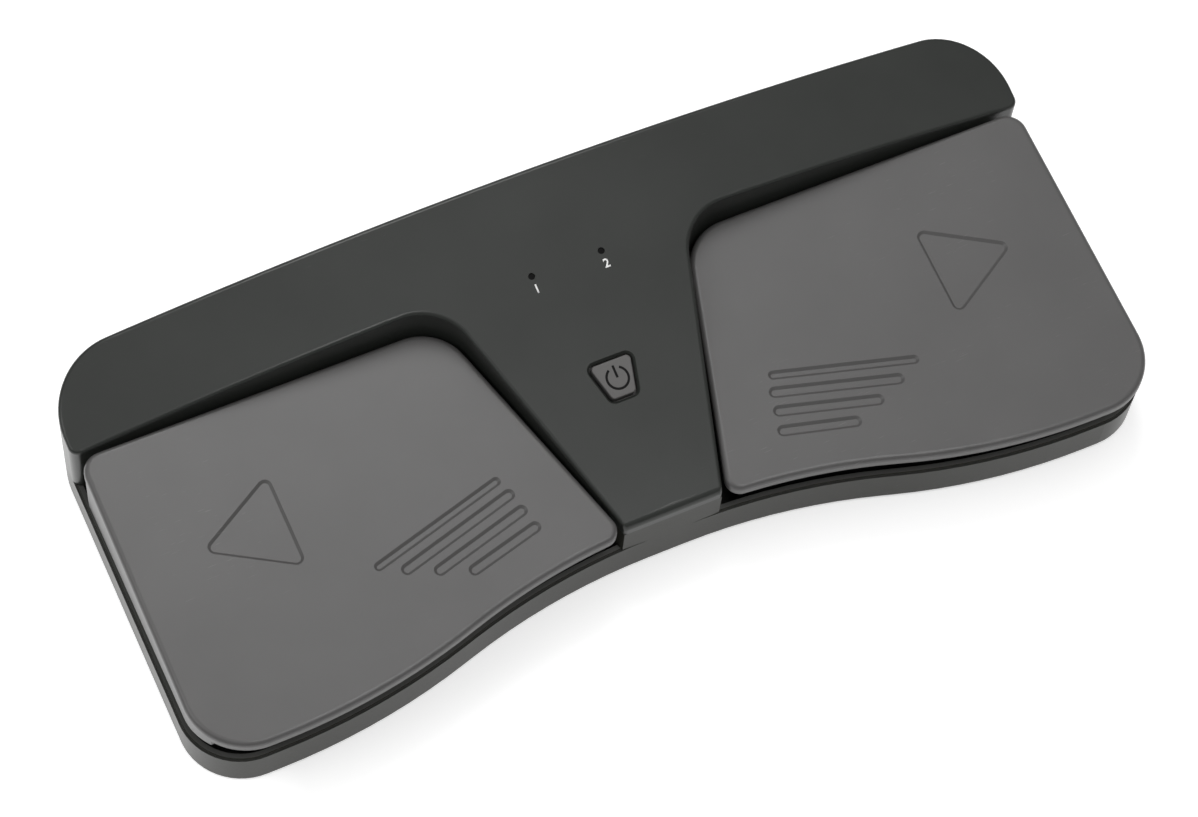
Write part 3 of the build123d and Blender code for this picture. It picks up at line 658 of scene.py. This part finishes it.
def buildFloor(values):
    deselectAll()
    bpy.ops.mesh.primitive_grid_add(x_subdivisions=values["floorSteps"],
                                    y_subdivisions=values["floorSteps"], size=values["floorSize"])
    floor = bpy.context.object
    floor.name = "studioFloor"
    material = bpy.data.materials.new("floorPaper")
    tree = emptyTree(material)
    link = tree.links.new
    paper = addNode(tree, "ShaderNodeBsdfDiffuse", 0, 100)
    paper.inputs[0].default_value = (*values["paper"], 1)
    glow = addNode(tree, "ShaderNodeEmission", 0, -100)
    glow.inputs[0].default_value = white
    # the glow is only seen, straight or mirrored, and lights nothing else
    rays = addNode(tree, "ShaderNodeLightPath", -700, -100)
    seen = addNode(tree, "ShaderNodeMath", -500, -100, operation="MAXIMUM")
    link(rays.outputs["Is Camera Ray"], seen.inputs[0])
    link(rays.outputs["Is Glossy Ray"], seen.inputs[1])
    also = addNode(tree, "ShaderNodeMath", -350, -100, operation="MAXIMUM")
    link(seen.outputs[0], also.inputs[0])
    link(rays.outputs["Is Transmission Ray"], also.inputs[1])
    place = addNode(tree, "ShaderNodeTexCoord", -900, -350)
    away = addNode(tree, "ShaderNodeVectorMath", -700, -350, operation="LENGTH")
    link(place.outputs["Object"], away.inputs[0])
    far = addRange(tree, -500, -350, values["nearEnd"], values["farStart"],
                   values["nearLift"], values["farLift"])
    link(away.outputs["Value"], far.inputs[0])
    spot = addNode(tree, "ShaderNodeSeparateXYZ", -700, -600)
    link(place.outputs["Object"], spot.inputs[0])
    side = addRange(tree, -500, -600, values["leftFrom"], values["leftTo"],
                    values["nearLift"], values["leftLift"])
    link(spot.outputs[0], side.inputs[0])
    best = addNode(tree, "ShaderNodeMath", -350, -450, operation="MAXIMUM")
    link(far.outputs[0], best.inputs[0])
    link(side.outputs[0], best.inputs[1])
    level = addNode(tree, "ShaderNodeMath", -200, -100, operation="MULTIPLY")
    link(also.outputs[0], level.inputs[0])
    link(best.outputs[0], level.inputs[1])
    link(level.outputs[0], glow.inputs[1])
    both = addNode(tree, "ShaderNodeAddShader", 200, 0)
    link(paper.outputs[0], both.inputs[0])
    link(glow.outputs[0], both.inputs[1])
    out = addNode(tree, "ShaderNodeOutputMaterial", 400, 0)
    link(both.outputs[0], out.inputs[0])
    floor.data.materials.append(material)


def buildAir(values):
    # the camera sees plain white, and the pieces are lit by a sky that darkens to its rim
    world = bpy.data.worlds.new("studioAir")
    scene.world = world
    tree = emptyTree(world)
    link = tree.links.new
    place = addNode(tree, "ShaderNodeTexCoord", -900, 0)
    split = addNode(tree, "ShaderNodeSeparateXYZ", -700, 0)
    link(place.outputs["Generated"], split.inputs[0])
    steep = addNode(tree, "ShaderNodeMath", -550, 100, operation="POWER")
    steep.inputs[1].default_value = values["airSteep"]
    link(split.outputs[2], steep.inputs[0])
    rise = addRange(tree, -400, 0, 0.0, 1.0, values["airLow"], values["airHigh"])
    link(steep.outputs[0], rise.inputs[0])
    air = addNode(tree, "ShaderNodeBackground", -200, 0)
    air.inputs[0].default_value = white
    link(rise.outputs[0], air.inputs[1])
    seenAir = addNode(tree, "ShaderNodeBackground", -200, -150)
    seenAir.inputs[0].default_value = white
    seenAir.inputs[1].default_value = values["airSeen"]
    rays = addNode(tree, "ShaderNodeLightPath", -400, 250)
    mix = addNode(tree, "ShaderNodeMixShader", 0, 0)
    link(rays.outputs["Is Camera Ray"], mix.inputs[0])
    link(air.outputs[0], mix.inputs[1])
    link(seenAir.outputs[0], mix.inputs[2])
    out = addNode(tree, "ShaderNodeOutputWorld", 200, 0)
    link(mix.outputs[0], out.inputs[0])


def addSoftbox(name, box, aimAt):
    bpy.ops.object.light_add(type="AREA", location=box["place"])
    lamp = bpy.context.object
    lamp.name = name
    lamp.data.shape = "DISK"
    lamp.data.size = box["size"]
    lamp.data.energy = box["watts"]
    towards = Vector(box["place"]) - Vector(aimAt)
    lamp.rotation_euler = towards.to_track_quat("Z", "Y").to_euler()


buildFloor(studio)
buildAir(studio)
for name, box in studio["softboxes"].items():
    addSoftbox(name, box, studio["aim"])
scene.view_settings.view_transform = "Standard"
print("studio ready")
